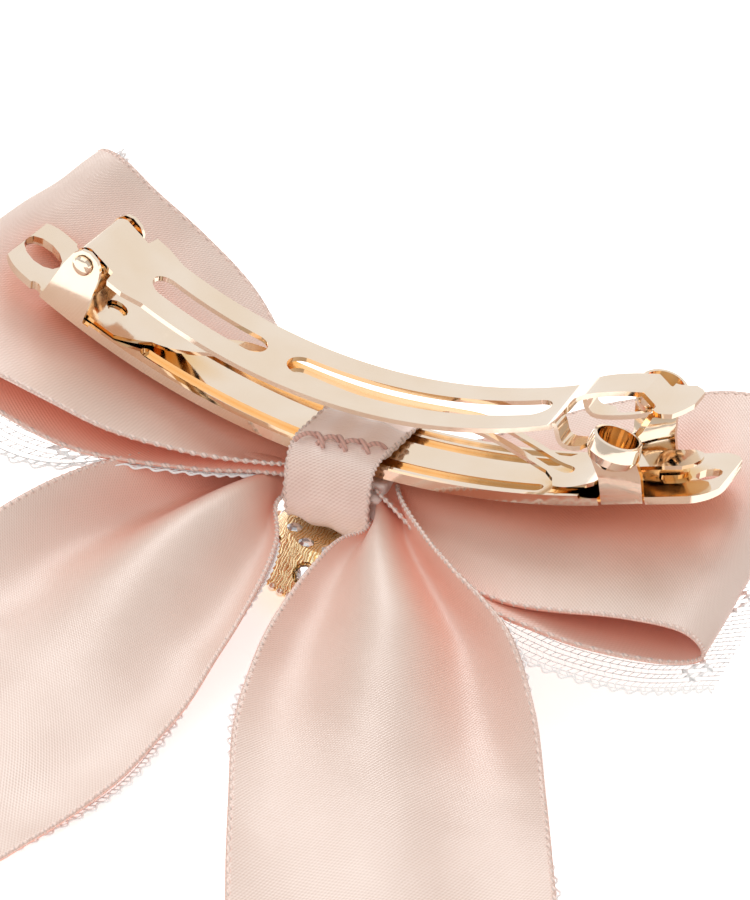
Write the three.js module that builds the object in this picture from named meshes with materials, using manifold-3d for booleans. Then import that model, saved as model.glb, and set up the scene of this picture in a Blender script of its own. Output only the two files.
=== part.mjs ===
// French barrette (spring hair clasp) with a ribbon bow, all sizes in millimetres.
//
// The clasp runs along X: its hinge is at the -X end and its catch at the +X end. Y runs across it, and
// the bow's two tails lie towards -Y. +Z is the hair side. The bow's front faces down, and its ornament's
// flat front lies on z = 0. Places along the clasp are given as s, the arc length along the underside of
// the base, and h, the height above it.

import * as THREE from 'three';
import { mergeVertices } from 'three/addons/utils/BufferGeometryUtils.js';
import Module from 'manifold-3d';

const wasm = await Module();
wasm.setup();

// ---- Driving dimensions ------------------------------------------------------------------------------

const GAP = 0.3;                    // clearance left between pieces that touch
const STEP = 0.9;                   // longest straight facet along a bent strip

const BASE_RADIUS = 80;             // the clasp's bend, at the underside of the base
const BASE_LIFT = 15.2;             // underside of the base above the surface that the bow lies on
const BASE = { halfWidth: 5, thickness: 0.8, start: -42, end: 41.6, corner: 3 };
const BEND_END = 29;                // past this s the base runs straight
const RIM = { width: 0.45, top: 1.1, from: -30.4, to: 27 };
const GROOVE = { inner: 2.1, outer: 3.6, from: -24.5, to: 22, floor: 0.3 };
const TAB = { hole: -39.3, holeRadius: 2.05, notch: -37.1, notchRadius: 0.55 };
const CLINCH = { from: 33.6, to: 36.8, halfWidth: 1, top: 1.25 };
const END_HOLE = { s: 39, radius: 1.3 };

const EAR_THICKNESS = 0.5;
const PIN = { s: -34.3, h: 6.8, radius: 0.6 };
const PIN_HOLE_RADIUS = 0.9;
const RIVET_HEAD = { radius: 1.1, height: 0.55 };

const ARM = { radius: 55, centreX: -2, crownZ: 6.75, thickness: 0.5, halfWidth: 4.8, shoulder: 5.6 };
const HOOD = { from: 22.7, to: 31.9, halfWidth: 2.2 };
const RAIL = { inner: 2.5, outer: 3.15, shoulder: 4.9, narrowFrom: 26.2 };
const LIP = { halfWidth: 3.4, tipX: 35.5 };
const LUG = { outer: 4.15, thickness: 0.5, radius: 1.55 };

const LEAF = { thickness: 0.4, halfWidth: 1.75, plate: 3.8, tongue: 1.9, slot: 0.85 };

const LEG = { s: 31.65, width: 4.5, thickness: 0.6, bendHeight: 3, topHeight: 6.4, flare: 1.5, lean: 0.9 };
const BUTTON = { radius: 2.75, opening: 2.15, depth: 3.3, wall: 0.55, h: 8.13, y: 6.4, offset: 1.05 };
const BUTTON_TURN = 30;             // degrees from the leg's upright to the button's axis, along the clasp
const BUTTON_INWARD = 7;            // degrees that a button's mouth leans towards the clasp's middle

const RIBBON_HALF = 16;             // half the satin ribbon's width
const TAIL_END = -88;               // how far the tails reach along Y
const KNOT_HALF = 4.8;              // half the length of the gathered knot along X
const CLOTH = 1.2;                  // thickness that stands for a ribbon and its soft curl
const LACE = 0.6;
const STITCH = { count: 7, radius: 0.16, half: 0.36, span: 6.6 };

const ORNAMENT = { frontRadius: 8, rimRadius: 10.4, rim: 2.4, rimTop: 3, backRadius: 7.2, height: 6.5,
  scaleX: 0.82, scaleY: 1.16 };
const STONE_CENTRE = 2.1;
const STONE_SMALL = 1.1;

// ---- Colours -----------------------------------------------------------------------------------------

const finish = (color, roughness, metalness = 0) =>
  new THREE.MeshStandardMaterial({ color, roughness, metalness });
const gold = () => finish(0xe6c58f, 0.12, 1);
const satin = () => finish(0xe3c0b2, 0.42);
const lace = () => finish(0xf6f3f0, 0.8);
const thread = () => finish(0xc9958a, 0.7);
const crystal = () => finish(0xf4f8fb, 0.03);

// ---- Solids ------------------------------------------------------------------------------------------

function solid(geometry) {
  const bare = geometry.index ? geometry.toNonIndexed() : geometry.clone();
  bare.deleteAttribute('normal');
  bare.deleteAttribute('uv');
  const merged = mergeVertices(bare, 1e-5);
  return new wasm.Manifold(new wasm.Mesh({
    numProp: 3,
    vertProperties: new Float32Array(merged.attributes.position.array),
    triVerts: new Uint32Array(merged.index.array),
  }));
}

function piece(name, body, material) {
  const raw = body.getMesh();
  const geometry = new THREE.BufferGeometry();
  geometry.setAttribute('position', new THREE.BufferAttribute(raw.vertProperties, 3));
  geometry.setIndex(new THREE.BufferAttribute(raw.triVerts, 1));
  geometry.computeVertexNormals();
  const mesh = new THREE.Mesh(geometry, material);
  mesh.name = name;
  return mesh;
}

function extrusion(shape, depth) {
  return new THREE.ExtrudeGeometry(shape, { depth, bevelEnabled: false, curveSegments: 6 });
}

// A prism over an outline in the XY plane, between two heights.
function plan(shape, low = -10, high = 60) {
  return solid(extrusion(shape, high - low).translate(0, 0, low));
}

// A prism over an outline in the XZ plane, between two places along Y.
function side(shape, near, far) {
  return solid(extrusion(shape, far - near).rotateX(Math.PI / 2).translate(0, far, 0));
}

// A prism over an outline in the YZ plane, between two places along X.
function across(shape, from, to) {
  return solid(extrusion(shape, to - from).rotateX(Math.PI / 2).rotateZ(Math.PI / 2).translate(from, 0, 0));
}

function outline(points) {
  return new THREE.Shape(points.map(([a, b]) => new THREE.Vector2(a, b)));
}

function smoothOutline(points, divisions) {
  const curve = new THREE.SplineCurve(points.map(([a, b]) => new THREE.Vector2(a, b)));
  return curve.getPoints(divisions);
}

function roundedBox(x0, x1, y0, y1, r) {
  const shape = new THREE.Shape();
  shape.absarc(x1 - r, y1 - r, r, 0, Math.PI / 2);
  shape.absarc(x0 + r, y1 - r, r, Math.PI / 2, Math.PI);
  shape.absarc(x0 + r, y0 + r, r, Math.PI, Math.PI * 1.5);
  shape.absarc(x1 - r, y0 + r, r, Math.PI * 1.5, Math.PI * 2);
  return shape;
}

function disc(x, y, r) {
  const shape = new THREE.Shape();
  shape.absarc(x, y, r, 0, Math.PI * 2);
  return shape;
}

// ---- The clasp's own coordinates ---------------------------------------------------------------------

function onBase(s, h) {
  const angle = Math.min(s, BEND_END) / BASE_RADIUS;
  const straight = Math.max(s - BEND_END, 0);
  return new THREE.Vector2(
    (BASE_RADIUS - h) * Math.sin(angle) + straight * Math.cos(angle),
    BASE_LIFT + BASE_RADIUS - (BASE_RADIUS - h) * Math.cos(angle) + straight * Math.sin(angle),
  );
}

const xAt = (s) => onBase(s, 0).x;

function stations(from, to) {
  const count = Math.ceil((to - from) / STEP);
  return Array.from({ length: count + 1 }, (_, i) => from + ((to - from) * i) / count);
}

// The side outline of a strip that keeps one thickness below its top line.
function stripOutline(topLine, thickness) {
  const last = topLine.length - 1;
  const under = topLine.map((point, i) => {
    const ahead = topLine[Math.min(i + 1, last)].clone().sub(topLine[Math.max(i - 1, 0)]).normalize();
    return new THREE.Vector2(point.x + ahead.y * thickness, point.y - ahead.x * thickness);
  });
  return new THREE.Shape([...under, ...topLine.slice().reverse()]);
}

function baseStrip(from, to, floor, top) {
  const upper = stations(from, to).map((s) => onBase(s, top));
  const lower = stations(from, to).map((s) => onBase(s, floor));
  return new THREE.Shape([...lower, ...upper.reverse()]);
}

// ---- Base --------------------------------------------------------------------------------------------

function earOutline() {
  const corners = [[-36.5, 0.3], [-31.1, 0.3], [-31.6, 4], [-31.9, 6.4], [-32.3, 7.5], [-33.1, 8.2],
    [-34.3, 8.5], [-35.3, 8.2], [-36, 7.2], [-36.3, 5.5]];
  return new THREE.Shape(corners.map(([s, h]) => onBase(s, h)));
}

// A long pressed groove beside the middle of the base.
function groove(way) {
  const low = way > 0 ? GROOVE.inner : -GROOVE.outer;
  const width = GROOVE.outer - GROOVE.inner;
  const groovePlan = roundedBox(xAt(GROOVE.from), xAt(GROOVE.to), low, low + width, width / 2 - 0.01);
  const depth = baseStrip(GROOVE.from - 3, GROOVE.to + 3, GROOVE.floor, RIM.top * 2);
  return side(depth, -BASE.halfWidth, BASE.halfWidth).intersect(plan(groovePlan));
}

// The notch in the base's edge that one catch leg stands in.
function legNotch(way) {
  const half = BASE.halfWidth;
  const depth = LEG.thickness + GAP;
  const notch = baseStrip(LEG.s - LEG.width / 2 - GAP, LEG.s + LEG.width / 2 + GAP, -1, RIM.top * 2);
  return side(notch, way > 0 ? half - depth : -half - 1, way > 0 ? half + 1 : -half + depth);
}

// What one long edge of the base adds: a raised rim, and the ear that holds the hinge.
function baseEdge(way) {
  const half = BASE.halfWidth;
  const rimNear = way > 0 ? half - RIM.width : -half;
  const earNear = way > 0 ? half - EAR_THICKNESS : -half;
  const rim = side(baseStrip(RIM.from, RIM.to, BASE.thickness / 2, RIM.top), rimNear, rimNear + RIM.width);
  return rim.add(side(earOutline(), earNear, earNear + EAR_THICKNESS));
}

function basePlate() {
  const half = BASE.halfWidth;
  const pin = onBase(PIN.s, PIN.h);
  let body = side(baseStrip(BASE.start, BASE.end, 0, BASE.thickness), -half, half)
    .intersect(plan(roundedBox(xAt(BASE.start) - 0.5, xAt(BASE.end), -half, half, BASE.corner)));
  for (const way of [-1, 1]) {
    body = body.add(baseEdge(way)).subtract(groove(way)).subtract(legNotch(way));
    body = body.subtract(plan(disc(xAt(TAB.notch), way * half, TAB.notchRadius), 0, onBase(TAB.notch, 2).y));
  }
  const clinchPlan = roundedBox(xAt(CLINCH.from), xAt(CLINCH.to), -CLINCH.halfWidth, CLINCH.halfWidth, 0.9);
  const clinch = baseStrip(CLINCH.from - 1, CLINCH.to + 1, BASE.thickness / 2, CLINCH.top);
  return body
    .add(side(clinch, -half, half).intersect(plan(clinchPlan)))
    .subtract(plan(disc(xAt(TAB.hole), 0, TAB.holeRadius)))
    .subtract(plan(disc(xAt(END_HOLE.s), 0, END_HOLE.radius)))
    .subtract(side(disc(pin.x, pin.y, PIN_HOLE_RADIUS), -half - 1, half + 1));
}

// A short rivet through one ear and the arm's lug beside it; its domed head is outside the ear.
function hingeRivet(way) {
  const pin = onBase(PIN.s, PIN.h);
  const inner = LUG.outer - LUG.thickness - GAP;
  const shoulder = BASE.halfWidth + 0.1;
  const { radius, height } = RIVET_HEAD;
  const dome = [[1, 0], [0.98, 0.35], [0.8, 0.75], [0.45, 1], [0, 1]];
  const profile = [[0, inner], [PIN.radius, inner], [PIN.radius, shoulder],
    ...dome.map(([r, y]) => [r * radius, shoulder + y * height])].map(([r, y]) => new THREE.Vector2(r, y));
  const geometry = new THREE.LatheGeometry(profile, 20);
  if (way < 0) geometry.rotateZ(Math.PI);
  return solid(geometry.translate(pin.x, 0, pin.y));
}

// ---- Top arm -----------------------------------------------------------------------------------------

function armTop(x) {
  return BASE_LIFT + ARM.crownZ + ARM.radius - Math.sqrt(ARM.radius ** 2 - (x - ARM.centreX) ** 2);
}

// A smooth line through points given as x and the height above the base's underside at its middle.
function raisedLine(points, divisions) {
  return smoothOutline(points, divisions).map((p) => new THREE.Vector2(p.x, BASE_LIFT + p.y));
}

// The arm's top line along its middle: a curl over the pins, the bowed bar, the hood and the lip.
function armLine() {
  const pin = onBase(PIN.s, PIN.h);
  const curl = [150, 136, 122, 108, 94, 80].map((degrees) => {
    const turn = THREE.MathUtils.degToRad(degrees);
    return new THREE.Vector2(pin.x + LUG.radius * Math.cos(turn), pin.y + LUG.radius * Math.sin(turn));
  });
  const bar = stations(-27.4, 22).map((x) => new THREE.Vector2(x, armTop(x)));
  const hood = raisedLine([[22.7, 13.2], [23.5, 14.6], [25.3, 15.75], [28, 16.85], [30.4, 17.55]], 14);
  const lip = raisedLine([[31.2, 17], [32, 16.5], [32.9, 16.55], [34.3, 17], [LIP.tipX, 17.6]], 10);
  return [...curl, ...bar, ...hood, ...lip];
}

// The side rails' top line: they dip below the hood and rise again to the lip.
function railLine() {
  const dip = [[21.8, 12.05], [22.6, 12.7], [23.1, 12.2], [23.6, 11], [24.6, 10.75], [27, 11.5], [29.4, 12.6],
    [30.5, 13.5], [31.1, 14.8], [31.7, 16.1], [32.8, 16.5]];
  return raisedLine(dip, 26);
}

// A plan that is alike on both sides of the clasp's middle, from the points of one side.
function evenPlan(right) {
  return outline([...right.map(([x, y]) => [x, -y]), ...right.slice().reverse()]);
}

function armPlan() {
  return evenPlan([[-33, 3.9], [-27.5, 3.9], [-27.3, ARM.shoulder], [-25.6, ARM.shoulder - 0.1],
    [-23.6, ARM.halfWidth], [20.5, ARM.halfWidth + 0.1], [22.4, RAIL.shoulder], [HOOD.to, RAIL.outer],
    [32.6, LIP.halfWidth], [34, LIP.halfWidth], [34.9, LIP.halfWidth - 1], [LIP.tipX, 1.4]]);
}

// One rail: as wide as the arm where it dips, and narrow where it passes the buttons.
function rail(way) {
  const { inner, outer, shoulder, narrowFrom } = RAIL;
  const edge = [[21, inner], [33.2, inner], [33.2, outer], [narrowFrom + 0.6, outer],
    [narrowFrom, outer + 0.4], [narrowFrom - 0.6, shoulder - 0.2], [narrowFrom - 1.2, shoulder],
    [21, shoulder]];
  const railPlan = outline(edge.map(([x, y]) => [x, way * y]));
  return side(stripOutline(railLine(), ARM.thickness), -6, 6).intersect(plan(railPlan));
}

// The lug beside one ear that turns on the rivet.
function lug(way) {
  const pin = onBase(PIN.s, PIN.h);
  const near = way > 0 ? LUG.outer - LUG.thickness : -LUG.outer;
  const shape = new THREE.Shape();
  shape.absarc(pin.x, pin.y, LUG.radius - 0.05, Math.PI * 0.75, Math.PI * 1.75);
  shape.lineTo(-28.2, armTop(-27.4) - 0.2);
  shape.lineTo(-28.6, armTop(-27.4) + 0.3);
  return side(shape, near, near + LUG.thickness);
}

function slotPlan(from, to, halfWidth) {
  return roundedBox(from, to, -halfWidth, halfWidth, halfWidth - 0.01);
}

function topArm() {
  const pin = onBase(PIN.s, PIN.h);
  let body = side(stripOutline(armLine(), ARM.thickness), -8, 8).intersect(plan(armPlan()));
  body = body.subtract(plan(slotPlan(-24.6, -11.2, 1.65)));
  body = body.subtract(plan(slotPlan(-8.6, 20.4, 1.75)));
  for (const way of [-1, 1]) {
    const edges = [HOOD.halfWidth * way, 8 * way].sort((a, b) => a - b);
    body = body.subtract(plan(roundedBox(HOOD.from, HOOD.to, ...edges, 0.3)));
    body = body.add(rail(way)).add(lug(way));
  }
  return body.subtract(side(disc(pin.x, pin.y, PIN_HOLE_RADIUS), -6, 6));
}

// ---- Spring leaf -------------------------------------------------------------------------------------

function leafLine() {
  const knots = [[-32.4, 1.4], [-29, 1.3], [-26, 1.4], [-23, 1.9], [-20, 3.1], [-17, 4.6], [-14, 5.5],
    [-10, 5.7], [0, 5.7], [10, 6.1], [14, 6.0], [17, 5.1], [20, 3.6], [23, 1.9], [25, 1.45], [27.5, 1.8],
    [31, 2.6], [35, 2.7], [39, 2.6]];
  return smoothOutline(knots, 90).map((p) => onBase(p.x, p.y));
}

function leafPlan() {
  return evenPlan([[-31.6, 3.3], [-30.6, 4.1], [-26.8, 4.1], [-25.2, 3.1], [-23.4, LEAF.halfWidth + 0.1],
    [-20, LEAF.halfWidth], [21.4, LEAF.halfWidth], [22.4, 2.5], [23.0, LEAF.plate], [27.3, LEAF.plate],
    [28.4, 2.6], [29.6, LEAF.tongue], [35.4, LEAF.tongue], [36.4, 1.3], [36.8, 0.4]]);
}

function springLeaf() {
  return side(stripOutline(leafLine(), LEAF.thickness), -6, 6)
    .intersect(plan(leafPlan()))
    .subtract(plan(disc(-28.6, 0, 1.15)))
    .subtract(plan(slotPlan(8.5, 23.8, LEAF.slot)));
}

// ---- Catch -------------------------------------------------------------------------------------------

// One catch leg in its own frame: x along the base, y outwards from the clasp's middle, z up from the base.
function catchLeg() {
  const face = BASE.halfWidth;
  const back = face - LEG.thickness;
  const { bendHeight, topHeight, flare } = LEG;
  const section = outline([[back, 0.1], [face, 0.1], [face, bendHeight], [face + flare, topHeight],
    [back + flare, topHeight], [back, bendHeight]]);
  const half = LEG.width / 2;
  const front = outline([[-half, 0], [half, 0], [half + LEG.lean + 0.2, 8], [-half + LEG.lean, 8]]);
  const strip = across(section, -8, 8).intersect(side(front, 0, 9));
  return strip.add(buttonPart(buttonOutside())).subtract(buttonPart(buttonHollow()));
}

// The finger button is a deep round cup. Its profiles give the radius, and the height below the mouth.
function buttonOutside() {
  const { radius, opening, depth } = BUTTON;
  return [[0, -depth], [radius * 0.5, -depth + 0.15], [radius * 0.85, -depth + 0.85], [radius, -depth * 0.45],
    [radius * 0.96, -0.5], [opening + 0.35, -0.05], [opening + 0.1, 0], [0, 0]];
}

function buttonHollow() {
  const { opening, depth, wall } = BUTTON;
  return [[0, -depth + wall], [opening * 0.45, -depth + wall + 0.1], [opening * 0.85, -depth + wall + 0.7],
    [opening * 0.97, -0.8], [opening, -0.05], [opening, 0.5], [0, 0.5]];
}

function buttonPart(profile) {
  const middle = BUTTON.depth / 2;
  const geometry = turned(profile, 30).translate(0, 0, middle);
  geometry.rotateX(THREE.MathUtils.degToRad(BUTTON_INWARD)).rotateY(THREE.MathUtils.degToRad(BUTTON_TURN));
  return solid(geometry.translate(BUTTON.offset, BUTTON.y, BUTTON.h - middle));
}

function catchLegs() {
  const foot = onBase(LEG.s, 0);
  const slope = BEND_END / BASE_RADIUS;
  return [['catch_leg_near', -1], ['catch_leg_far', 1]].map(([name, way]) => {
    const leg = way > 0 ? catchLeg() : catchLeg().mirror([0, 1, 0]);
    const holder = new THREE.Group();
    holder.add(piece(name, leg, gold()));
    holder.position.set(foot.x, 0, foot.y);
    holder.rotation.y = -slope;
    return holder;
  });
}

// ---- Bow ---------------------------------------------------------------------------------------------

// Each loop starts at the knot and ends at a fold. Its lines give x, the height of the layer that lies
// under the base (measured from the base's underside at the middle), and the loop's fullness below that.
// The near end of a fold lies farther out than its far end by twice the skew.
const LEFT_LOOP = {
  way: -1,
  tilt: 9,
  skew: 4.9,
  reach: 1.06,
  lines: [[5.9, -1.6, 4], [12, -0.6, 3.6], [20, 1.2, 3.2], [28, 3.6, 3], [35, 6.3, 3.2], [40, 8.9, 2.8],
    [43, 10.2, 1.2]],
};
const RIGHT_LOOP = {
  way: 1,
  tilt: 12,
  skew: 0,
  reach: 1,
  lines: [[5.9, -1.8, 4], [12, -1.4, 3.4], [20, 0, 3.2], [28, 2.1, 3.8], [35, 3.7, 4.3], [40, 4.2, 3.8],
    [44, 3.4, 1.2]],
};

// The loop's cross-section in the XZ plane, or that of a sheet of some thickness that follows its lower side.
function loopOutline(lines, thickness) {
  const top = lines.map(([x, z]) => [x, BASE_LIFT + z]);
  const bottom = lines.map(([x, z, fullness]) => [x, BASE_LIFT + z - fullness]);
  if (!thickness) return new THREE.Shape([...smoothOutline(bottom, 15), ...smoothOutline(top, 15).reverse()]);
  const over = bottom.map(([x, z]) => [x, z - GAP]);
  const under = bottom.map(([x, z]) => [x, z - GAP - thickness]);
  return new THREE.Shape([...smoothOutline(under, 15), ...smoothOutline(over, 15).reverse()]);
}

function loopPlan(extra) {
  const wide = RIBBON_HALF + extra;
  return evenPlan([[5.9, 5.4], [13, 9], [22, wide - 2.2], [32, wide], [56, wide]]);
}

// Turns a straight loop into one whose fold is skewed, by moving each point along X.
function skewed(geometry, skew, reach) {
  const place = geometry.attributes.position;
  const fold = 43;
  for (let i = 0; i < place.count; i += 1) {
    const share = Math.max(place.getX(i) / fold, 0) ** 2;
    const turn = 1 + (reach - 1) * share;
    place.setX(i, place.getX(i) * turn - (skew * share * place.getY(i)) / RIBBON_HALF);
  }
  return geometry;
}

function loop({ way, tilt, skew, reach, lines }, thickness = 0, extra = 0) {
  const half = 30;
  const straight = extrusion(loopOutline(lines, thickness), half * 2).rotateX(Math.PI / 2);
  const body = solid(skewed(straight.translate(0, half, 0), skew, reach)).intersect(plan(loopPlan(extra)));
  const facing = way < 0 ? body.mirror([1, 0, 0]) : body;
  return facing.translate([0, 0, -BASE_LIFT]).rotate([tilt, 0, 0]).translate([0, 0, BASE_LIFT]);
}

// The tails' fall from the knot to the surface, as an outline in the YZ plane.
function tailOutline(lift, thickness) {
  const fall = [[-7.4, 10.2], [-14, 9], [-24, 6.2], [-36, 3.4], [-50, 1.5], [-66, 1], [TAIL_END - 2, 1]];
  const low = smoothOutline(fall.map(([y, z]) => [y, z + lift]), 16);
  const high = smoothOutline(fall.map(([y, z]) => [y, z + lift + thickness]), 16);
  return new THREE.Shape([...low, ...high.reverse()]);
}

const LEFT_TAIL = {
  inner: [[-0.7, -7.4], [-0.8, -20], [0.4, -36], [-0.2, -50], [-4, -66], [-10.5, TAIL_END]],
  outer: [[-42, -85], [-35.5, -61], [-32, -46], [-29.4, -29], [-23.5, -18.8], [-15, -12.6], [-6, -7.4]],
};
const RIGHT_TAIL = {
  inner: [[0.9, -7.4], [2.4, -20], [4.4, -32], [10, -46.5], [16.6, -60], [30, -84]],
  outer: [[58.5, -72], [47.6, -53], [39, -37.5], [31.8, -27], [23.6, -18.4], [14, -12], [6, -7.4]],
};

function tailPlan({ inner, outer }, extra) {
  const grow = ([x, y]) => [x + Math.sign(x) * Math.min(extra, Math.abs(x) > 3 ? extra : 0), y];
  return new THREE.Shape([...smoothOutline(inner, 12), ...smoothOutline(outer.map(grow), 14)]);
}

function tail(route, { lift, thickness, extra = 0 }) {
  return across(tailOutline(lift, thickness), -60, 80).intersect(plan(tailPlan(route, extra)));
}

// The satin band that binds the bow to the base: a rounded ring around both.
function centreWrap() {
  const outer = roundedBox(-7, 7, BASE_LIFT - 8.3, BASE_LIFT + 2.2, 1.8);
  const inner = roundedBox(-6.2, 6.2, BASE_LIFT - 7.5, BASE_LIFT + 1.5, 1.1);
  return across(outer, -KNOT_HALF, KNOT_HALF).subtract(across(inner, -KNOT_HALF - 1, KNOT_HALF + 1));
}

function knotGathers() {
  return across(roundedBox(-5.8, 5.8, BASE_LIFT - 7.1, BASE_LIFT - GAP, 1.6), -KNOT_HALF, KNOT_HALF);
}

function wrapStitches() {
  const { count, radius, half, span } = STITCH;
  return Array.from({ length: count }, (_, i) => {
    const x = -span / 2 + (i * span) / (count - 1);
    const y = -5.4 + i * 0.35;
    const z = BASE_LIFT + 2.45;
    const path = new THREE.CatmullRomCurve3([
      new THREE.Vector3(x - half, y - 0.25, z),
      new THREE.Vector3(x, y, z + 0.22),
      new THREE.Vector3(x + half, y + 0.25, z)]);
    const geometry = new THREE.ExtrudeGeometry(disc(0, 0, radius), {
      extrudePath: path, steps: 4, curveSegments: 4, bevelEnabled: false });
    return piece(`wrap_stitch_${i + 1}`, solid(geometry), thread());
  });
}

// ---- Ornament ----------------------------------------------------------------------------------------

function turned(profile, segments) {
  const points = profile.map(([r, z]) => new THREE.Vector2(r, z));
  return new THREE.LatheGeometry(points, segments).rotateX(Math.PI / 2);
}

// A cut stone in its own frame: its flat table faces +Z at z = 0 and the point is below it.
function stone(radius) {
  return turned([[0, -radius * 0.75], [radius, -radius * 0.3], [radius * 0.7, 0], [0, 0]], 8);
}

function pocket(radius) {
  const wall = radius + 0.2;
  return turned([[0, -radius * 0.75 - 0.25], [wall, -radius * 0.3 - 0.3], [wall, 0.5], [0, 0.5]], 12);
}

// The stones' places on the ornament: one in the middle of its front, six round it, and eight on the slope
// behind its rim.
function stoneSeats() {
  const seats = [{ name: 'rhinestone_centre', radius: STONE_CENTRE, place: [0, 0, 0], facing: [0, 0, -1] }];
  for (let i = 0; i < 6; i += 1) {
    const turn = (i * Math.PI) / 3 + Math.PI / 6;
    const place = [3.5 * Math.cos(turn), 4.9 * Math.sin(turn), 0];
    seats.push({ name: `rhinestone_front_${i + 1}`, radius: STONE_SMALL, place, facing: [0, 0, -1] });
  }
  const { rimTop, rimRadius, backRadius, scaleX, scaleY, height } = ORNAMENT;
  const reach = (backRadius + rimRadius) / 2;
  for (let i = 0; i < 8; i += 1) {
    const turn = (i * Math.PI) / 4;
    const [c, s] = [Math.cos(turn), Math.sin(turn)];
    const place = [reach * scaleX * c, reach * scaleY * s, (rimTop + height) / 2];
    const facing = [c / scaleX, s / scaleY, (rimRadius - backRadius) / (height - rimTop)];
    seats.push({ name: `rhinestone_side_${i + 1}`, radius: STONE_SMALL, place, facing });
  }
  return seats;
}

function seated(geometry, seat) {
  const facing = new THREE.Vector3(...seat.facing).normalize();
  geometry.applyQuaternion(new THREE.Quaternion().setFromUnitVectors(new THREE.Vector3(0, 0, 1), facing));
  return solid(geometry.translate(...seat.place));
}

function ornamentPlate() {
  const { frontRadius, rimRadius, rim, rimTop, backRadius, height, scaleX, scaleY } = ORNAMENT;
  const profile = [[0, 0], [frontRadius, 0], [rimRadius, rim], [rimRadius, rimTop], [backRadius, height],
    [0, height]];
  const plate = solid(turned(profile, 32).scale(scaleX, scaleY, 1));
  return stoneSeats().reduce((body, seat) => body.subtract(seated(pocket(seat.radius), seat)), plate);
}

// ---- Assembly ----------------------------------------------------------------------------------------

const clasp = new THREE.Group();
clasp.add(piece('base_plate', basePlate(), gold()));
clasp.add(piece('hinge_rivet_near', hingeRivet(-1), gold()));
clasp.add(piece('hinge_rivet_far', hingeRivet(1), gold()));
clasp.add(piece('top_arm', topArm(), gold()));
clasp.add(piece('spring_leaf', springLeaf(), gold()));
clasp.add(...catchLegs());

const bow = new THREE.Group();
bow.add(piece('satin_loop_left', loop(LEFT_LOOP), satin()));
bow.add(piece('satin_loop_right', loop(RIGHT_LOOP), satin()));
bow.add(piece('lace_loop_left', loop(LEFT_LOOP, LACE, 2.4), lace()));
bow.add(piece('lace_loop_right', loop(RIGHT_LOOP, LACE, 2.4), lace()));
bow.add(piece('satin_tail_left', tail(LEFT_TAIL, { lift: 0, thickness: CLOTH }), satin()));
bow.add(piece('satin_tail_right', tail(RIGHT_TAIL, { lift: 0, thickness: CLOTH }), satin()));
bow.add(piece('lace_tail_left', tail(LEFT_TAIL, { lift: -1, thickness: LACE, extra: 2 }), lace()));
bow.add(piece('lace_tail_right', tail(RIGHT_TAIL, { lift: -1, thickness: LACE, extra: 2 }), lace()));
bow.add(piece('knot_gathers', knotGathers(), satin()));
bow.add(piece('centre_wrap', centreWrap(), satin()));
bow.add(...wrapStitches());

const ornament = new THREE.Group();
ornament.add(piece('ornament_plate', ornamentPlate(), gold()));
for (const seat of stoneSeats()) ornament.add(piece(seat.name, seated(stone(seat.radius), seat), crystal()));

const barrette = new THREE.Group();
barrette.add(clasp, bow, ornament);
export default barrette;
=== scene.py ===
"""A gold spring barrette with a satin and lace bow, lying face down and seen from its hair side.

Lengths in this file are millimetres until they reach a mesh, where MM turns them into metres.
"""

import math

import bmesh
import bpy
from mathutils import Matrix, Vector, noise


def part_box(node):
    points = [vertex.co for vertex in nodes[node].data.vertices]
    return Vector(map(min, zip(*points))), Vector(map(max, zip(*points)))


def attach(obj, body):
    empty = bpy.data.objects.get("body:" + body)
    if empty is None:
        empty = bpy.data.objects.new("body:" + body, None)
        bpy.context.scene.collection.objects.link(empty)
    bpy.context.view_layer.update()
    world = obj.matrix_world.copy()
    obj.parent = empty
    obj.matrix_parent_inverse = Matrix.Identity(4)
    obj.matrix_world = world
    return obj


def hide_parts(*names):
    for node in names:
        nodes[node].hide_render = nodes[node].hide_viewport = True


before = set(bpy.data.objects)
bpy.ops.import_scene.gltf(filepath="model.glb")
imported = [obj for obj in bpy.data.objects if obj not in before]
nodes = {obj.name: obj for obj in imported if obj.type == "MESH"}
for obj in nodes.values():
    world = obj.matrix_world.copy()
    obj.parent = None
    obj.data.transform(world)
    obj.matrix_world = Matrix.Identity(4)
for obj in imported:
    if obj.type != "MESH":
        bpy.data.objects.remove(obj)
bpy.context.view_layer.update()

MM = 0.001

# ---- Driving sizes -------------------------------------------------------------------------------

RIBBON_WIDTH = 32.0
RIBBON_THICKNESS = 0.3
LACE_THICKNESS = 0.1
LACE_CELL = 0.66
LACE_THREAD = 0.042
LACE_MARGIN = 3.8
LACE_REACH = {"left": 0.4, "right": 3.4}
LACE_NARROW = {"left": 14.2, "right": 14.4}
TAIL_LACE_MARGIN = -0.5
TAIL_LACE_STRAY = 0.9
MOTIF_ROWS = 16
MOTIF_COLUMNS = 16
CORD_RADIUS = 0.13
SCALLOP_PITCH = 1.4
SCALLOP_DEPTH = 0.018
SELVEDGE_RADIUS = 0.2
PICOT_PITCH = 0.95
STITCH_RADIUS = 0.25
STITCH_TOP = 18.05
BACK_STONES = {"count": 12, "sides": 8, "radius": 0.85, "height": 0.3, "ring": (0.6, 0.63)}
BEADING = {"count": 46, "radius": 0.5, "height": 2.7}
WRAP_HALF = 4.75
WRAP_EDGE = 0.6  # taken up in the wrap's creases, at each side
KNOT = {"rings": 12, "sides": 72, "pleats": 11, "depth": 0.07, "overhang": 0.6}
STITCHES = 7
STITCH_STEPS = 14
CREASE_ANGLE = 28  # in degrees: sharper edges of the metal stay crisp
FLOOR_REACH = 1.6

VIEW = {"azimuth": 21.7, "elevation": 30.7, "roll": 6.8, "distance": 400.0, "lens": 155.3}
VIEW_TARGET = Vector((2.1, 0.0, 15.2))


# ---- Node materials ------------------------------------------------------------------------------


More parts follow.
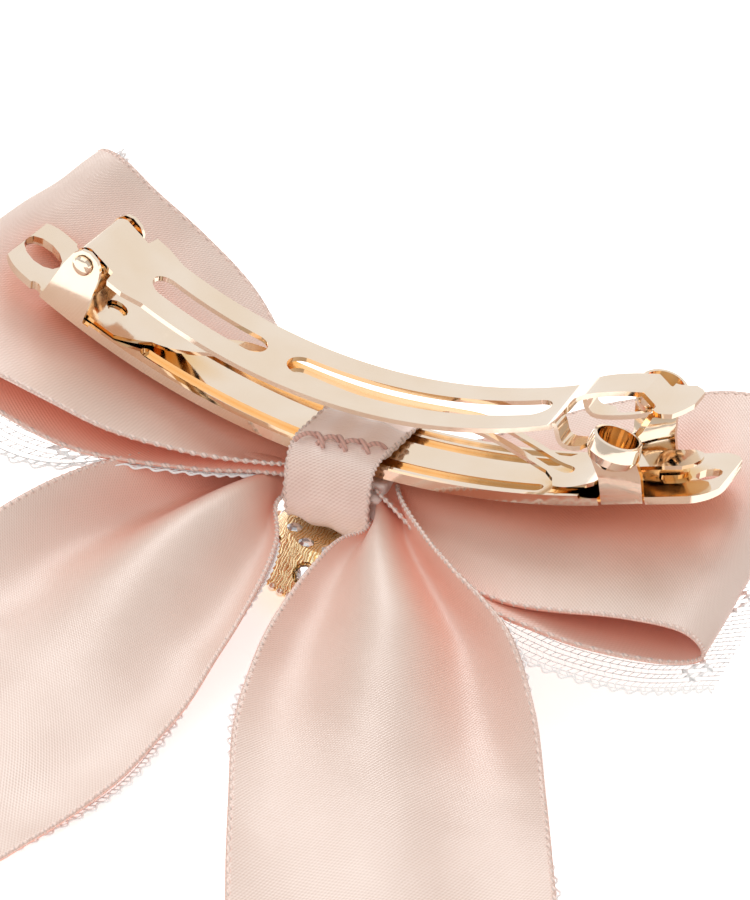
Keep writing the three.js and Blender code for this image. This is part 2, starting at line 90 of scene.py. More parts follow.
class Shader:
    """A material under construction: a Principled shader and the nodes that feed it."""

    def __init__(self, name, color, roughness, metallic=0.0, **sockets):
        self.material = bpy.data.materials.new(name)
        self.material.use_nodes = True
        self.tree = self.material.node_tree
        self.bsdf = self.tree.nodes["Principled BSDF"]
        self.set(self.bsdf, "Base Color", (*color, 1.0))
        self.set(self.bsdf, "Roughness", roughness)
        self.set(self.bsdf, "Metallic", metallic)
        for socket, value in sockets.items():
            self.set(self.bsdf, socket.replace("_", " "), value)

    def set(self, node, socket, value):
        node.inputs[socket].default_value = value

    def link(self, source, target):
        self.tree.links.new(source, target)

    def node(self, kind, **values):
        made = self.tree.nodes.new(kind)
        for key, value in values.items():
            setattr(made, key, value)
        return made

    def place(self, scale, uv=False):
        """Texture coordinates, from the UV map (in centimetres) or from the object itself (in metres)."""
        source = self.node("ShaderNodeTexCoord").outputs["UV" if uv else "Object"]
        mapping = self.node("ShaderNodeMapping")
        mapping.inputs["Scale"].default_value = scale
        self.link(source, mapping.inputs["Vector"])
        return mapping.outputs["Vector"]

    def noise(self, place, scale, detail=2.0):
        made = self.node("ShaderNodeTexNoise")
        self.set(made, "Scale", scale)
        self.set(made, "Detail", detail)
        self.link(place, made.inputs["Vector"])
        return made.outputs["Fac"]

    def wave(self, place, scale, direction, distortion=0.0):
        made = self.node("ShaderNodeTexWave", bands_direction=direction)
        self.set(made, "Scale", scale)
        self.set(made, "Distortion", distortion)
        self.link(place, made.inputs["Vector"])
        return made.outputs["Fac"]

    def ramp(self, value, stops):
        made = self.node("ShaderNodeValToRGB")
        while len(made.color_ramp.elements) < len(stops):
            made.color_ramp.elements.new(0.5)
        for element, (position, color) in zip(made.color_ramp.elements, stops):
            element.position = position
            element.color = (*color, 1.0)
        self.link(value, made.inputs["Fac"])
        return made.outputs["Color"]

    def maths(self, operation, a, b):
        made = self.node("ShaderNodeMath", operation=operation)
        for socket, value in zip(made.inputs, (a, b)):
            if isinstance(value, (int, float)):
                socket.default_value = value
            else:
                self.link(value, socket)
        return made.outputs[0]

    def bump(self, height, strength, distance):
        made = self.node("ShaderNodeBump")
        self.set(made, "Strength", strength)
        self.set(made, "Distance", distance * MM)
        self.link(height, made.inputs["Height"])
        previous = self.bsdf.inputs["Normal"].links
        if previous:
            self.link(previous[0].from_socket, made.inputs["Normal"])
        self.link(made.outputs["Normal"], self.bsdf.inputs["Normal"])


def painted_recess_shading(made, color, painted_recess_colour, reach, low=0.25, high=0.8):
    """Painted light and shade: a colour that deepens in corners and folds, where light has bounced off its
    own surface, or pales there when its recess colour is the paler one.
    """
    recess = made.node("ShaderNodeAmbientOcclusion", samples=6)
    made.set(recess, "Distance", reach * MM)
    mix = made.node("ShaderNodeMix", data_type="RGBA")
    share = made.node("ShaderNodeMapRange")
    made.link(recess.outputs["AO"], share.inputs["Value"])
    made.set(share, "From Min", low)
    made.set(share, "From Max", high)
    made.link(share.outputs["Result"], mix.inputs["Factor"])
    mix.inputs["A"].default_value = (*painted_recess_colour, 1.0)
    if isinstance(color, tuple):
        mix.inputs["B"].default_value = (*color, 1.0)
    else:
        made.link(color, mix.inputs["B"])
    return mix.outputs["Result"]


def gold_material():
    """Champagne-gold plating, polished, with faint handling marks that only show in the gloss, and painted
    shade that deepens its colour in recesses.
    """
    made = Shader("gold_plating", (0.90, 0.70, 0.48), 0.09, metallic=1.0)
    place = made.place((1, 1, 1))
    patches = made.ramp(made.noise(place, 160.0), [(0.3, (0.865, 0.745, 0.62)), (0.7, (0.835, 0.69, 0.54))])
    # Painted shade: the base colour turns deeper orange in corners and recesses, within 4 mm.
    made.link(painted_recess_shading(made, patches, (0.80, 0.50, 0.20), 4.0), made.bsdf.inputs["Base Color"])
    haze = made.noise(place, 900.0, 4.0)
    made.link(made.ramp(haze, [(0.35, (0.05,) * 3), (0.75, (0.12,) * 3)]), made.bsdf.inputs["Roughness"])
    made.bump(made.noise(place, 90.0, 1.0), 0.10, 0.02)
    return made.material


def engraved_gold_material():
    """The ornament's gold, cut with fine wavy grooves, with painted shade coloured into their bottoms."""
    made = Shader("engraved_gold", (1.0, 0.78, 0.42), 0.24, metallic=1.0)
    place = made.place((1, 1, 1))
    grooves = made.wave(place, 900.0, "X", 9.0)
    # Painted shade: the grooves' bottoms are coloured a darker, deeper orange than the gold between them.
    made.link(made.ramp(grooves, [(0.08, (0.76, 0.42, 0.14)), (0.4, (1.0, 0.82, 0.50))]),
              made.bsdf.inputs["Base Color"])
    made.bump(grooves, 0.7, 0.08)
    made.bump(made.noise(place, 1500.0, 3.0), 0.4, 0.06)
    return made.material


def satin_material(name, color, shade, painted_recess_colour, fineness=1.0):
    """Satin ribbon: fine rows of weave crossed by diagonal floats, silky, and painted towards the recess
    colour in its folds: warmer there for painted shade, paler for painted light.
    """
    made = Shader(name, color, 0.33, Specular_IOR_Level=0.9, Sheen_Weight=0.15, Sheen_Roughness=0.3,
                  Anisotropic=0.6, Coat_Weight=0.35, Coat_Roughness=0.36)
    made.set(made.bsdf, "Sheen Tint", (1.0, 0.95, 0.92, 1.0))
    place = made.place((1, 1, 1), uv=True)
    rows = made.wave(place, 12.0 * fineness, "Y", 0.4)
    floats = made.wave(place, 19.0 * fineness, "DIAGONAL", 0.6)
    weave = made.maths("ADD", made.maths("MULTIPLY", rows, 0.4), made.maths("MULTIPLY", floats, 0.6))
    cloud = made.noise(place, 1.3)
    tone = made.maths("ADD", made.maths("MULTIPLY", weave, 0.6), made.maths("MULTIPLY", cloud, 0.4))
    woven = made.ramp(tone, [(0.22, shade), (0.68, color)])
    # Painted light and shade: in folds and hollows the woven colour gives way to the recess colour.
    made.link(painted_recess_shading(made, woven, painted_recess_colour, 11.0, 0.35, 1.0), made.bsdf.inputs["Base Color"])
    made.link(made.ramp(weave, [(0.2, (0.42,) * 3), (0.8, (0.30,) * 3)]), made.bsdf.inputs["Roughness"])
    made.bump(weave, 0.5, 0.05)
    made.bump(made.noise(place, 1.8, 1.0), 0.25, 0.6)
    return made.material


def thread_material(name, color, roughness=0.6, depth=0.72, glow=0.0):
    """Spun yarn: fine diagonal twists across the strand, with painted shade that colours their grooves
    darker by a share of their depth.

    glow stands for the light that comes through a thin pale strand from behind.
    """
    made = Shader(name, color, roughness, Sheen_Weight=0.4, Emission_Strength=glow)
    made.set(made.bsdf, "Emission Color", (1.0, 1.0, 1.0, 1.0))
    place = made.place((1, 1, 1))
    twist = made.wave(place, 900.0, "DIAGONAL", 1.0)
    # Painted shade: the grooves of the twist are coloured darker.
    darker = tuple(c * depth for c in color)
    made.link(made.ramp(twist, [(0.2, darker), (0.6, color)]), made.bsdf.inputs["Base Color"])
    made.bump(twist, 0.5, 0.05)
    return made.material


def crystal_material():
    """Foil-backed cut glass: clear coat over a bright silvery body, with painted reflections: dark and
    bright cells that stand in for the glints of its facets.
    """
    made = Shader("foiled_crystal", (0.92, 0.94, 0.97), 0.05, metallic=0.85, Coat_Weight=1.0,
                  Coat_Roughness=0.02)
    place = made.place((1, 1, 1))
    # Painted reflections: cells of dark and white colour stand in for the facets catching dark and light.
    facet_glints = made.node("ShaderNodeTexVoronoi")
    made.set(facet_glints, "Scale", 2000.0)
    made.link(place, facet_glints.inputs["Vector"])
    made.link(made.ramp(facet_glints.outputs["Color"], [(0.15, (0.22, 0.24, 0.29)), (0.45, (1.0, 1.0, 1.0))]),
              made.bsdf.inputs["Base Color"])
    return made.material


def floor_material():
    made = Shader("studio_white", (0.95, 0.945, 0.94), 0.85, Emission_Strength=0.5)
    made.set(made.bsdf, "Emission Color", (1.0, 0.995, 0.99, 1.0))
    place = made.place((1, 1, 1))
    made.link(made.ramp(made.noise(place, 4.0), [(0.3, (0.94, 0.935, 0.93)), (0.7, (0.96, 0.955, 0.95))]),
              made.bsdf.inputs["Base Color"])
    return made.material


GOLD = gold_material()
ENGRAVED = engraved_gold_material()
# Its third colour is painted shade: a deep warm pink in the ribbon's folds.
SATIN = satin_material("pink_satin", (0.73, 0.58, 0.505), (0.61, 0.45, 0.37), (0.86, 0.36, 0.25))
# Its third colour, a little paler than its own, is painted light that lifts the shade in the wrap's hollows
# and where the arm shades it.
WRAP_SATIN = satin_material("wrap_satin", (0.90, 0.75, 0.67), (0.62, 0.42, 0.345), (0.92, 0.75, 0.68),
                            fineness=0.68)
SELVEDGE = thread_material("selvedge_thread", (0.86, 0.68, 0.60), 0.5)
STITCH = thread_material("stitch_thread", (0.66, 0.38, 0.31))
LACE = thread_material("white_lace", (0.80, 0.79, 0.775), 0.75, 0.95, glow=0.12)
CRYSTAL = crystal_material()


# ---- Meshes --------------------------------------------------------------------------------------


def smooth(values, t):
    """A smooth curve through equally spaced numbers or vectors; t runs from 0 to len(values) - 1."""
    last = len(values) - 1
    i = min(max(int(t), 0), last - 1)
    f = t - i
    p1, p2 = values[i], values[i + 1]
    p0 = values[i - 1] if i > 0 else p1 * 2 - p2
    p3 = values[i + 2] if i + 2 <= last else p2 * 2 - p1
    bend = (p0 * 2 - p1 * 5 + p2 * 4 - p3) * f * f + (p1 * 3 - p0 - p2 * 3 + p3) * f * f * f
    return p1 + ((p2 - p0) * f + bend) * 0.5


def box_of(name):
    """The low and high corners of a piece of the frame, its middle and its half size."""
    low, high = (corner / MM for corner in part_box(name))
    return low, high, (low + high) / 2, (high - low) / 2


def mesh_from(name, bm):
    mesh = bpy.data.meshes.new(name)
    bm.to_mesh(mesh)
    bm.free()
    return mesh


def skin(bm, rings):
    """A closed skin over rings of vertices that all have the same count."""
    count = len(rings[0])
    for one, two in zip(rings, rings[1:]):
        for k in range(count):
            bm.faces.new([one[k], one[(k + 1) % count], two[(k + 1) % count], two[k]])
    bm.faces.new(rings[0][::-1])
    bm.faces.new(rings[-1])


def new_object(name, mesh, material):
    for polygon in mesh.polygons:
        polygon.use_smooth = True
    mesh.materials.append(material)
    made = bpy.data.objects.new(name, mesh)
    bpy.context.scene.collection.objects.link(made)
    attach(made, "base")
    return made


class Ribbon:
    """A bent band given by cross-sections: (one selvedge, other selvedge, cup, pleat).

    cup lifts both selvedges off the straight line between them, and pleat is the height of its gathers.
    margin is how far it spreads past the sections' ends where they are widest, and narrow is the half width
    at which it spreads no farther than they do. stray is how far it wanders from side to side.
    """

    def __init__(self, sections, folds=3.0, shift=0.0, lift=0.0, margin=0.0, crumple=0.25,
                 start=0.0, end=None, narrow=0.0, stray=0.0):
        self.a = [Vector(s[0]) for s in sections]
        self.b = [Vector(s[1]) for s in sections]
        self.cup = [float(s[2]) for s in sections]
        self.pleat = [float(s[3]) for s in sections]
        self.folds = folds
        self.shift = shift
        self.lift = lift
        self.margin = margin
        self.crumple = crumple
        self.narrow = narrow
        self.stray = stray
        self.last = len(sections) - 1
        self.start = start
        self.end = self.last if end is None else end

    def at(self, share):
        """The place along the sections of a share of the drawn length, from 0 to 1."""
        return self.start + (self.end - self.start) * share

    def point(self, t, v):
        """The point at section t, at v from -1 to 1 across the band."""
        a, b = smooth(self.a, t), smooth(self.b, t)
        middle, arm = (a + b) / 2, (b - a) / 2
        step = 0.02
        ahead = smooth(self.a, min(t + step, self.last)) + smooth(self.b, min(t + step, self.last))
        behind = smooth(self.a, max(t - step, 0)) + smooth(self.b, max(t - step, 0))
        normal = arm.cross(ahead - behind).normalized()
        wide = arm.length
        spread = min(max((wide - self.narrow) / (RIBBON_WIDTH / 2 - self.narrow), 0.0), 1.0)
        u = (v * (wide + self.margin * spread) + self.stray * spread * math.sin(1.9 * t)) / wide
        height = smooth(self.cup, t) * u * u + self.lift
        height += smooth(self.pleat, t) * math.cos(math.pi * (self.folds * u / 2 + self.shift))
        place = middle + arm * u
        height += self.crumple * noise.noise(place / 7.0)
        return place + normal * height

    def length(self, steps=160):
        points = [self.point(self.at(i / steps), 0.0) for i in range(steps + 1)]
        return sum((p - q).length for p, q in zip(points, points[1:]))


def band_mesh(name, ribbon, along, across, width):
    """A grid over a ribbon, with a UV map in centimetres."""
    length = ribbon.length()
    bm = bmesh.new()
    uv = bm.loops.layers.uv.new("UVMap")
    rows = []
    for i in range(along + 1):
        t = ribbon.at(i / along)
        rows.append([bm.verts.new(ribbon.point(t, 2 * j / across - 1) * MM) for j in range(across + 1)])
    for i in range(along):
        for j in range(across):
            corners = [(i, j), (i, j + 1), (i + 1, j + 1), (i + 1, j)]
            face = bm.faces.new([rows[r][c] for r, c in corners])
            for loop, (r, c) in zip(face.loops, corners):
                loop[uv].uv = (c / across * width / 10, r / along * length / 10)
    return mesh_from(name, bm)


def thicken(obj, thickness):
    solid = obj.modifiers.new("thickness", "SOLIDIFY")
    solid.thickness = thickness * MM
    solid.offset = 0.0


def tube(name, path, radii, material, sides=7):
    """A closed tube along a list of points, with a radius at each."""
    bm = bmesh.new()
    rings = []
    up = Vector((0.13, 0.21, 1.0)).normalized()
    for i, (point, radius) in enumerate(zip(path, radii)):
        ahead = (path[min(i + 1, len(path) - 1)] - path[max(i - 1, 0)]).normalized()
        side = ahead.cross(up).normalized()
        top = side.cross(ahead)
        turns = [2 * math.pi * k / sides for k in range(sides)]
        places = [point + side * math.cos(w) * radius + top * math.sin(w) * radius for w in turns]
        rings.append([bm.verts.new(place * MM) for place in places])
    skin(bm, rings)
    bmesh.ops.recalc_face_normals(bm, faces=bm.faces)
    return new_object(name, mesh_from(name, bm), material)


def selvedge(name, ribbon, v):
    """The woven edge of a ribbon: a thin cord with one small loop of thread in each picot pitch."""
    count = int(ribbon.length() / PICOT_PITCH * 5)
    path = [ribbon.point(ribbon.at(i / count), v) for i in range(count + 1)]
    radii = [SELVEDGE_RADIUS * (1.0 + 0.45 * math.cos(2 * math.pi * i / 5)) for i in range(count + 1)]
    return tube(name, path, radii, SELVEDGE, sides=6)


def satin_band(name, ribbon, node, along=150, across=56, width=RIBBON_WIDTH, material=SATIN):
    """A woven band with its two selvedges, in place of a solid ribbon of the frame."""
    band = new_object(name, band_mesh(name, ribbon, along, across, width), material)
    thicken(band, RIBBON_THICKNESS)
    sides = (("near", -0.985), ("far", 0.985))
    edges = [selvedge(f"{name}_selvedge_{side}", ribbon, v) for side, v in sides]
    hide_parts(node)
    ribbon.length() * MM
    return band


def lace_cord(name, ribbon, v):
    """The cord along a lace's border: it waves in and out in small scallops."""
    steps = 10
    count = int(ribbon.length() / SCALLOP_PITCH) * steps
    path = []
    for i in range(count + 1):
        wave = math.cos(2 * math.pi * i / steps)
        path.append(ribbon.point(ribbon.at(i / count), v * (1.005 + SCALLOP_DEPTH * wave)))
    return tube(name, path, [CORD_RADIUS] * (count + 1), LACE, sides=5)


def lace_motif(i, j, across):
    """How one cell of the net is worked: a solid leaf or petal, an open border cell with a doubled thread,
    or an open cell.
    """
    edge = min(j, across - 1 - j)
    if edge == 0:
        return "border"
    row, turn = i % MOTIF_ROWS, (j + (i // MOTIF_ROWS) * (MOTIF_COLUMNS // 2)) % MOTIF_COLUMNS
    if row in (3, 5) and turn in (3, 5):
        return "petal"
    if (row, turn) in ((4, 2), (4, 6), (2, 4), (6, 4)):
        return "petal"
    return "open"


def lace_band(name, ribbon, node):
    """Net lace: open cells, rows of small closed petals, and a waved cord along each border."""
    length = ribbon.length()
    width = RIBBON_WIDTH + 2 * ribbon.margin
    across = int(width / LACE_CELL)
    along = int(length / LACE_CELL)
    bm = bmesh.new()
    rows = []
    for i in range(along + 1):
        row = []
        for j in range(across + 1):
            stagger = 0.25 if j % 2 else -0.25
            share = min(max((i + stagger) / along, 0.0), 1.0)
            row.append(bm.verts.new(ribbon.point(ribbon.at(share), 2 * j / across - 1) * MM))
        rows.append(row)
    cells = {"open": [], "petal": [], "border": []}
    for i in range(along):
        for j in range(across):
            face = bm.faces.new([rows[i][j], rows[i][j + 1], rows[i + 1][j + 1], rows[i + 1][j]])
            cells[lace_motif(i, j, across)].append(face)
    for kind, thread in (("open", LACE_THREAD), ("border", LACE_THREAD * 2)):
        bmesh.ops.inset_individual(bm, faces=cells[kind], thickness=thread * MM, use_even_offset=True)
    bmesh.ops.delete(bm, geom=cells["open"] + cells["border"], context="FACES_ONLY")
    area = sum(face.calc_area() for face in bm.faces)
    lace = new_object(name, mesh_from(name, bm), LACE)
    thicken(lace, LACE_THICKNESS)
    cords = [lace_cord(f"{name}_cord_{side}", ribbon, v) for side, v in (("near", -1), ("far", 1))]
    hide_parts(node)
    return lace


# ---- Bow -----------------------------------------------------------------------------------------


def loop_section(x, y, z, tilt, half, cup, pleat, skew=0.0):
    """A loop's cross-section: a line across the clasp, leaning so that its far end is higher.

    skew is how far its near end lies beyond its middle, away from the knot.
    """
    lean = math.radians(tilt)
    across = Vector((-skew * math.copysign(1.0, x), math.cos(lean) * half, math.sin(lean) * half))
    middle = Vector((x, y, z))
    return (middle - across, middle + across, cup, pleat)


# Each row of a loop: its middle's x, y and z, its tilt, half its width, cup, pleat and skew.
LEFT_LOOP = [
    (-3.4, 0.0, 13.7, 0, 4.2, 0.0, 0.7, 0.0),
    (-8.0, 0.2, 13.9, 3, 6.8, 0.0, 0.9, 0.0),
    (-14.0, 0.6, 15.1, 5.5, 11.2, 0.4, 0.5, 0.2),
    (-21.5, 1.2, 17.0, 7.5, 14.8, 1.1, 0.2, 0.9),
    (-29.0, 1.5, 19.3, 9.5, 16.0, 1.5, 0.0, 2.0),
    (-36.5, 1.5, 22.1, 13.5, 16.0, 1.3, 0.0, 3.3),
    (-42.0, 1.5, 24.8, 15, 16.0, 0.8, 0.0, 4.4),
    (-44.9, 1.5, 25.8, 14, 16.0, 0.3, 0.0, 4.9),
    (-45.3, 1.4, 24.4, 13, 16.0, 0.2, 0.0, 4.9),
    (-42.0, 1.3, 22.3, 12, 16.0, 0.8, 0.0, 4.3),
    (-34.0, 1.0, 19.0, 9, 16.0, 1.3, 0.0, 2.8),
    (-24.0, 0.6, 15.8, 6.5, 15.2, 1.3, 0.2, 1.3),
    (-14.0, 0.2, 13.7, 3.5, 11.0, 0.3, 0.3, 0.3),
    (-8.0, 0.0, 12.4, 2, 6.6, 0.0, 0.5, 0.0),
    (-3.4, 0.0, 12.0, 0, 4.2, 0.0, 0.4, 0.0),
]
RIGHT_LOOP = [
    (3.4, 0.0, 13.7, 0, 4.2, 0.0, 0.7),
    (8.0, 0.0, 13.7, 4, 6.8, 0.0, 0.9),
    (14.0, 0.3, 14.4, 10.5, 11.2, 0.2, 0.5),
    (21.0, 0.6, 15.6, 16.5, 14.8, 0.1, 0.2),
    (29.0, 1.0, 17.7, 18.5, 16.0, 0.5, 0.0),
    (36.0, 1.0, 19.8, 20, 16.0, 0.6, 0.0),
    (41.5, 1.0, 20.4, 19, 16.0, 0.3, 0.0),
    (44.2, 0.8, 18.8, 16, 16.0, 0.0, 0.0),
    (43.8, 0.6, 17.0, 14.5, 16.0, 0.0, 0.0),
    (39.5, 0.4, 15.0, 12, 16.0, 0.0, 0.0),
    (30.0, 0.0, 13.6, 8.8, 16.0, 0.2, 0.0),
    (21.0, 0.0, 12.9, 6, 15.0, 0.2, 0.2),
    (13.0, 0.0, 11.4, 4, 10.8, 0.1, 0.4),
    (8.0, 0.0, 10.8, 1, 6.8, 0.0, 0.6),
    (3.4, 0.0, 10.4, 0, 4.2, 0.0, 0.5),
]
FOLD_SECTION = 8  # the first cross-section of a loop's front layer


def beyond(first, second, reach):
    """A copy of the first cross-section, moved on past the second one's far side."""
    push = (first[0] + first[1] - second[0] - second[1]).normalized() * reach
    return (first[0] + push, first[1] + push, first[2], first[3])


def loops():
    for side, line, way in (("left", LEFT_LOOP, 1), ("right", RIGHT_LOOP, -1)):
        sections = [loop_section(*s) for s in line]
        turned = [(a, b, cup * way, pleat * way) for a, b, cup, pleat in sections]
        satin_band(f"bow_loop_{side}", Ribbon(turned), f"satin_loop_{side}", along=190)
        front = turned[FOLD_SECTION + 1:]
        front.insert(0, beyond(turned[FOLD_SECTION], front[0], LACE_REACH[side]))
        under = Ribbon(front, lift=0.5 * way, margin=LACE_MARGIN, end=len(front) - 2,
                       narrow=LACE_NARROW[side])
        lace_band(f"lace_front_{side}", under, f"lace_loop_{side}")


# How a tail comes down from the knot to the surface it lies on, as y and height.
TAIL_FALL = [(12.0, 10.9), (-4.0, 10.8), (-12.0, 10.0), (-20.0, 8.2), (-30.0, 5.6), (-42.0, 3.2),
             (-56.0, 1.9), (-95.0, 1.5)]


def fall(y):
    """The height of a tail's middle layer at y."""
    for (y0, z0), (y1, z1) in zip(TAIL_FALL, TAIL_FALL[1:]):
        if y >= y1:
            share = (y0 - y) / (y0 - y1)
            share = min(max(share, 0.0), 1.0)
            return z0 + (z1 - z0) * share
    return TAIL_FALL[-1][1]


# Each row of a tail: the inner selvedge's x and y, the outer one's x, y and rise, then cup and pleat.
LEFT_TAIL = [
    (-3.6, -3.2, -3.8, 2.8, 0.0, 0.0, 0.5),
    (-5.2, -6.9, -9.2, -1.0, 0.4, 0.3, 1.1),
    (-2.4, -12.5, -17.4, -8.8, 0.5, 0.8, 2.0),
    (-1.0, -19.0, -24.2, -15.8, 0.2, 1.0, 2.3),
    (-0.2, -28.0, -28.8, -23.5, 0.0, 0.7, 1.6),
    (0.4, -38.0, -31.0, -33.5, 0.0, 0.4, 0.8),
    (-0.2, -50.0, -32.0, -46.5, 0.0, 0.3, 0.5),
    (-3.2, -63.0, -35.0, -60.0, 0.0, 0.3, 0.4),
    (-7.0, -76.0, -38.6, -72.5, 0.0, 0.3, 0.3),
    (-10.0, -87.0, -41.6, -83.5, 0.0, 0.3, 0.2),
]
RIGHT_TAIL = [
    (3.6, -3.2, 3.6, 2.8, 1.6, 0.0, 0.5),
    (4.9, -7.2, 8.0, -5.0, 2.7, 0.3, 1.0),
    (3.5, -10.0, 13.0, -10.2, 3.0, 0.6, 1.4),
    (2.9, -13.6, 18.0, -13.8, 3.0, 0.8, 1.8),
    (2.5, -20.5, 26.2, -19.2, 2.8, 1.0, 2.3),
    (3.2, -28.0, 32.2, -26.0, 1.6, 0.8, 2.0),
    (5.6, -37.0, 37.2, -34.2, 0.7, 0.5, 1.0),
    (10.2, -47.0, 41.6, -42.0, 0.2, 0.3, 0.5),
    (16.6, -60.0, 47.2, -53.0, 0.0, 0.3, 0.4),
    (23.2, -72.0, 53.0, -63.0, 0.0, 0.3, 0.3),
    (29.4, -83.0, 58.4, -72.0, 0.0, 0.3, 0.2),
]


def tail_sections(rows, way):
    """The rows as cross-sections; way turns the cup and the pleats to the side that faces up."""
    return [(Vector((xa, ya, fall(ya))), Vector((xb, yb, fall(yb) + rise)), cup * way, pleat * way)
            for xa, ya, xb, yb, rise, cup, pleat in rows]


def tails():
    for side, rows, way, shift in (("left", LEFT_TAIL, 1, 0.25), ("right", RIGHT_TAIL, -1, 0.12)):
        sections = tail_sections(rows, way)
        satin_band(f"bow_tail_{side}", Ribbon(sections, shift=shift), f"satin_tail_{side}")
        under = Ribbon(sections, shift=shift, lift=-0.9 * way, margin=TAIL_LACE_MARGIN, start=1.2,
                       stray=TAIL_LACE_STRAY)
        lace_band(f"lace_under_{side}", under, f"lace_tail_{side}")


# The wrap's path round the base and the knot, as y and z. Its two ends overlap on top.
WRAP_PATH = [(1.8, 17.35), (-2.4, 17.4), (-5.0, 17.2), (-6.3, 16.0), (-6.6, 13.4), (-6.3, 10.2),
             (-5.0, 7.6), (-1.6, 7.0), (2.4, 7.0), (5.2, 7.7), (6.3, 10.4), (6.5, 13.4), (6.2, 15.8),
             (4.8, 16.8), (1.6, 16.85), (-3.4, 16.85)]


def wrap():
    """The band round the knot, pulled tight, with small creases along it."""
    sections = []
    for i, (y, z) in enumerate(WRAP_PATH):
        skew = 0.5 * math.cos(i)
        near = Vector((-WRAP_HALF + 0.2 * skew, y, z))
        far = Vector((WRAP_HALF + 0.2 * skew, y, z))
        sections.append((near, far, 0.1, 0.1 + 0.1 * abs(skew)))
    band = Ribbon(sections, folds=5.0, crumple=0.2)
    satin_band("wrap_band", band, "centre_wrap", along=140, across=24,
               width=2 * (WRAP_HALF + WRAP_EDGE), material=WRAP_SATIN)


def stitches():
    """The stitches cross the wrap's overlapped end in a zigzag, each one a short arched strand."""
    for i in range(STITCHES):
        _, _, middle, _ = box_of(f"wrap_stitch_{i + 1}")
        way = -1 if i % 2 else 1
        path = []
        for k in range(STITCH_STEPS + 1):
            f = 2 * k / STITCH_STEPS - 1
            sway = 0.06 * math.sin(3.1 * f + i)
            y = middle.y + way * 0.85 * f + sway
            path.append(Vector((middle.x + 1.0 * f, y, STITCH_TOP - 0.8 * f * f)))
        strand = tube(f"stitch_{i + 1}", path, [STITCH_RADIUS] * len(path), STITCH, sides=9)
        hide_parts(f"wrap_stitch_{i + 1}")


def knot():
    """The gathered ribbon inside the wrap: a soft roll with lengthwise pleats."""
    low, high, middle, half = box_of("knot_gathers")
    overhang = KNOT["overhang"]
    bm = bmesh.new()
    rings = []
    for i in range(KNOT["rings"] + 1):
        x = low.x - overhang + (high.x - low.x + 2 * overhang) * i / KNOT["rings"]
        ring = []
        for k in range(KNOT["sides"]):
            w = 2 * math.pi * k / KNOT["sides"]
            pleat = 1.0 - KNOT["depth"] * (1 - math.cos(KNOT["pleats"] * w))
            y = math.copysign(abs(math.cos(w)) ** 0.6, math.cos(w)) * half.y * pleat
            z = math.copysign(abs(math.sin(w)) ** 0.7, math.sin(w)) * half.z * pleat
            ring.append(bm.verts.new(Vector((x, middle.y + y, middle.z + z)) * MM))
        rings.append(ring)
    skin(bm, rings)
    bmesh.ops.recalc_face_normals(bm, faces=bm.faces)
    roll = new_object("knot_roll", mesh_from("knot_roll", bm), WRAP_SATIN)
    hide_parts("knot_gathers")


# ---- Metal and stones ----------------------------------------------------------------------------


def finish_metal(names, material):
    """Crisp edges and even shading on the pieces that the frame brings."""
    for name in names:
        piece = nodes[name]
        piece.data.materials[0] = material
        piece.data.polygons.foreach_set("use_smooth", [True] * len(piece.data.polygons))
        weld = piece.modifiers.new("weld", "WELD")
        weld.merge_threshold = 0.002 * MM
        crisp = piece.modifiers.new("crisp_edges", "EDGE_SPLIT")
        crisp.split_angle = math.radians(CREASE_ANGLE)
        even = piece.modifiers.new("even_normals", "WEIGHTED_NORMAL")
        even.weight = 80
        even.keep_sharp = True


def beads():
    """A ring of small grains round the ornament's widest edge."""
    low, _, middle, half = box_of("ornament_plate")
    z = low.z + BEADING["height"]
    bm = bmesh.new()
    for i in range(BEADING["count"]):
        w = 2 * math.pi * i / BEADING["count"]
        centre = Vector((middle.x + half.x * math.cos(w), middle.y + half.y * math.sin(w), z))
        grain = bmesh.ops.create_icosphere(bm, subdivisions=2, radius=BEADING["radius"] * MM)
        bmesh.ops.translate(bm, verts=grain["verts"], vec=centre * MM)
    new_object("ornament_beading", mesh_from("ornament_beading", bm), GOLD)


def back_stones():
    """Small faceted stones round the ornament's flat back, one closed gem each."""
    _, high, middle, half = box_of("ornament_plate")
    wide, long = BACK_STONES["ring"]
    turns = [2 * math.pi * k / BACK_STONES["sides"] for k in range(BACK_STONES["sides"])]
    bm = bmesh.new()
    for i in range(BACK_STONES["count"]):
        w = 2 * math.pi * (i + 0.5) / BACK_STONES["count"]
        x = middle.x + wide * half.x * math.cos(w)
        y = middle.y + long * half.y * math.sin(w)
        rings = []
        for reach, rise in ((0.8, -0.2), (1.0, 0.05), (0.62, BACK_STONES["height"])):
            radius = reach * BACK_STONES["radius"]
            places = [(x + radius * math.cos(a), y + radius * math.sin(a), high.z + rise) for a in turns]
            rings.append([bm.verts.new(Vector(place) * MM) for place in places])
        skin(bm, rings)
    mesh = mesh_from("ornament_back_stones", bm)
    new_object("ornament_back_stones", mesh, CRYSTAL)
    mesh.polygons.foreach_set("use_smooth", [False] * len(mesh.polygons))


# ---- Studio --------------------------------------------------------------------------------------


def camera():
    """The camera looks at VIEW_TARGET, at the angles in VIEW."""
    azimuth, elevation, roll = (math.radians(VIEW[k]) for k in ("azimuth", "elevation", "roll"))
    ahead = Vector((-math.sin(azimuth) * math.cos(elevation), math.cos(azimuth) * math.cos(elevation),
                    -math.sin(elevation)))
    level = Vector((math.cos(azimuth), math.sin(azimuth), 0.0))
    upright = level.cross(ahead)
    right = level * math.cos(roll) + upright * math.sin(roll)
    up = upright * math.cos(roll) - level * math.sin(roll)
    data = bpy.data.cameras.new("camera")
    data.lens = VIEW["lens"]
    data.clip_start = 0.01
    made = bpy.data.objects.new("camera", data)
    turn = Matrix((right, up, -ahead)).transposed().to_4x4()
    made.matrix_world = Matrix.Translation((VIEW_TARGET - ahead * VIEW["distance"]) * MM) @ turn
    bpy.context.scene.collection.objects.link(made)
    bpy.context.scene.camera = made


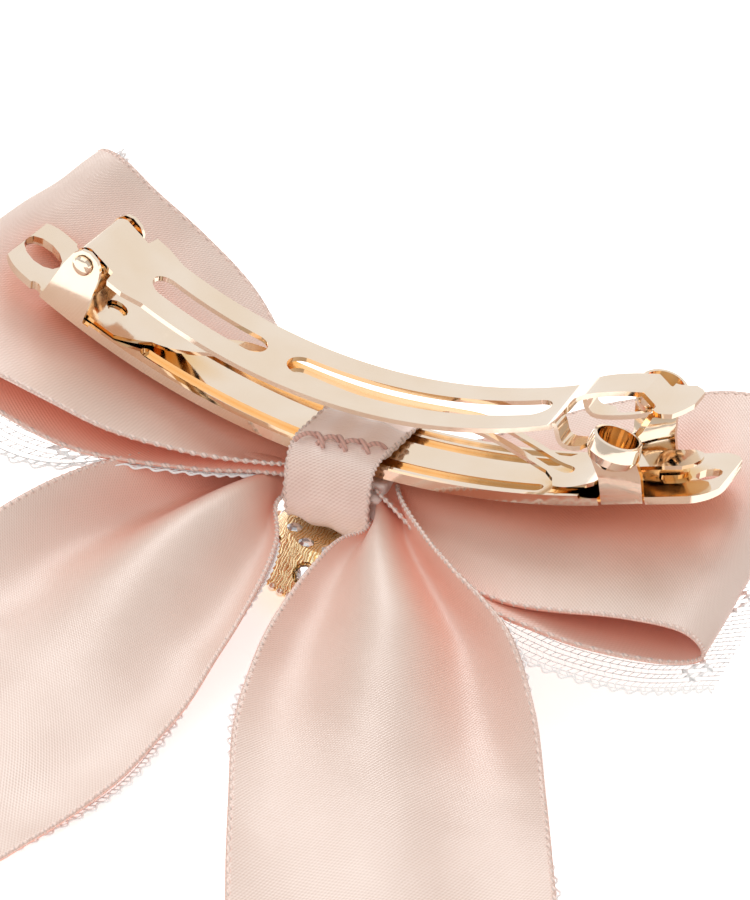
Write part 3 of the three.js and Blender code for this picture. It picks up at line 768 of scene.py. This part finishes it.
def light(name, place, size, power, target=(0.0, -0.02, 0.01)):
    data = bpy.data.lights.new(name, "AREA")
    data.shape = "RECTANGLE"
    data.size, data.size_y = size
    data.energy = power
    made = bpy.data.objects.new(name, data)
    made.location = place
    made.rotation_euler = (Vector(target) - Vector(place)).to_track_quat("-Z", "Y").to_euler()
    bpy.context.scene.collection.objects.link(made)


def studio():
    """A wide pale floor, two soft lights and a pale surround that is darker on one side."""
    mesh = bpy.data.meshes.new("floor")
    corners = [(x * FLOOR_REACH, y * FLOOR_REACH, 0) for x, y in ((-1, -1), (1, -1), (1, 1), (-1, 1))]
    mesh.from_pydata(corners, [], [(0, 1, 2, 3)])
    mesh.materials.append(floor_material())
    floor = bpy.data.objects.new("floor", mesh)
    bpy.context.scene.collection.objects.link(floor)
    light("key", (-0.30, 0.30, 0.62), (0.5, 0.4), 2.1)
    light("front", (-0.15, -0.50, 0.50), (0.7, 0.5), 0.9)
    world = bpy.data.worlds.new("studio_air")
    world.use_nodes = True
    tree = world.node_tree
    direction = tree.nodes.new("ShaderNodeTexCoord").outputs["Generated"]
    parts = tree.nodes.new("ShaderNodeSeparateXYZ")
    tree.links.new(direction, parts.inputs["Vector"])
    depth = tree.nodes.new("ShaderNodeMapRange")
    depth.inputs["From Min"].default_value = -1.0
    tree.links.new(parts.outputs["Y"], depth.inputs["Value"])
    ramp = tree.nodes.new("ShaderNodeValToRGB")
    ramp.color_ramp.elements[0].position = 0.2
    ramp.color_ramp.elements[0].color = (0.66, 0.64, 0.63, 1.0)
    ramp.color_ramp.elements[1].position = 0.8
    ramp.color_ramp.elements[1].color = (0.98, 0.97, 0.96, 1.0)
    tree.links.new(depth.outputs["Result"], ramp.inputs["Fac"])
    tree.links.new(ramp.outputs["Color"], tree.nodes["Background"].inputs["Color"])
    bpy.context.scene.world = world
    bpy.context.scene.view_settings.view_transform = "Standard"


camera()
finish_metal(["base_plate", "hinge_rivet_near", "hinge_rivet_far", "top_arm", "spring_leaf",
              "catch_leg_near", "catch_leg_far"], GOLD)
finish_metal(["ornament_plate"], ENGRAVED)
for name, piece in nodes.items():
    if name.startswith("rhinestone"):
        piece.data.materials[0] = CRYSTAL
loops()
tails()
wrap()
stitches()
knot()
beads()
back_stones()
studio()
